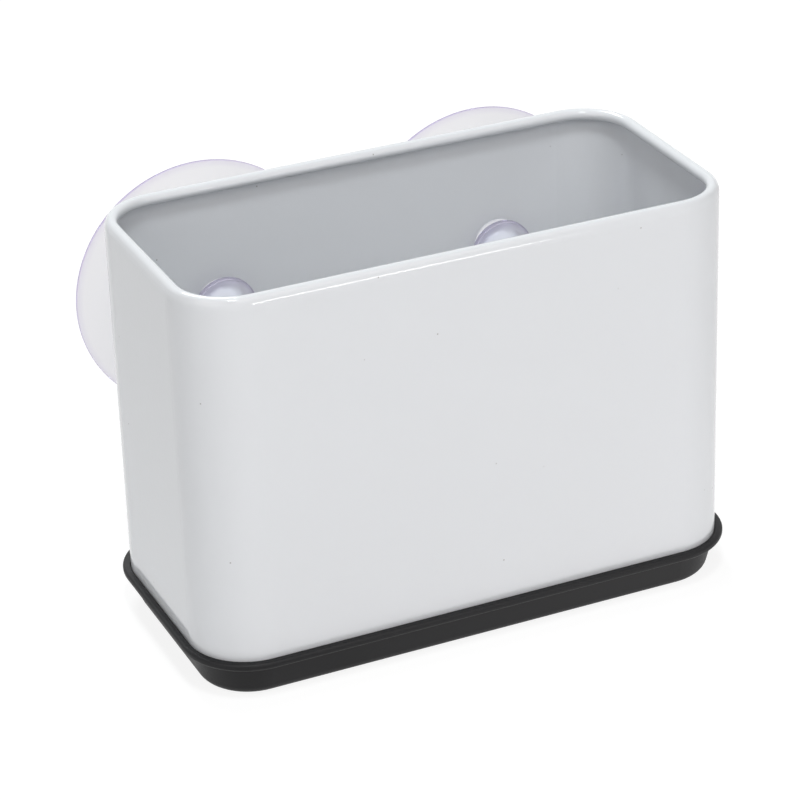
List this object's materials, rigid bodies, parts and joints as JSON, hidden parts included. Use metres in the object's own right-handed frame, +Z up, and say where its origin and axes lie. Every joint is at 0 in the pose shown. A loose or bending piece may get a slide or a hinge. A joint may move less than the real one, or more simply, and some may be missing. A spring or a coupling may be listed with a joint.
{
  "type": "sponge holder",
  "caption": "Open-topped sponge holder: a painted metal sleeve with a rolled rim on a pull-off drip tray, hung on a smooth wall by clear suction cups through its back.",
  "frame": {"origin": "middle of the drip tray's flat underside, on the surface that the holder stands on", "axes": "+X along the width, to the right seen from the front; +Y from the front to the wall side, where the suction cups are; +Z up"},
  "size_m": [0.144, 0.0836, 0.1042],
  "materials": {
    "white_enamel": "gloss white enamel on sheet steel, with a fine orange peel",
    "black_plastic": "fine matt moulded texture",
    "clear_vinyl": "clear soft vinyl with a faint violet tint"
  },
  "bodies": {
    "sleeve": {"sleeve": "white_enamel"},
    "base_tray": {"base_tray": "black_plastic"},
    "suction_cup_left": {"suction_cup_left": "clear_vinyl"},
    "suction_cup_right": {"suction_cup_right": "clear_vinyl"}
  },
  "joints": [
    {"name": "tray_pull", "type": "slide", "parent": "sleeve", "child": "base_tray", "axis": [0, 0, -1], "range_m": [0, 0.03]},
    {"name": "left_cup_spin", "type": "hinge", "parent": "sleeve", "child": "suction_cup_left", "pos_m": [-0.0377, 0.03415, 0.0709], "axis": [0, 1, 0], "continuous": true},
    {"name": "right_cup_spin", "type": "hinge", "parent": "sleeve", "child": "suction_cup_right", "pos_m": [0.0377, 0.03415, 0.0703], "axis": [0, 1, 0], "continuous": true}
  ]
}
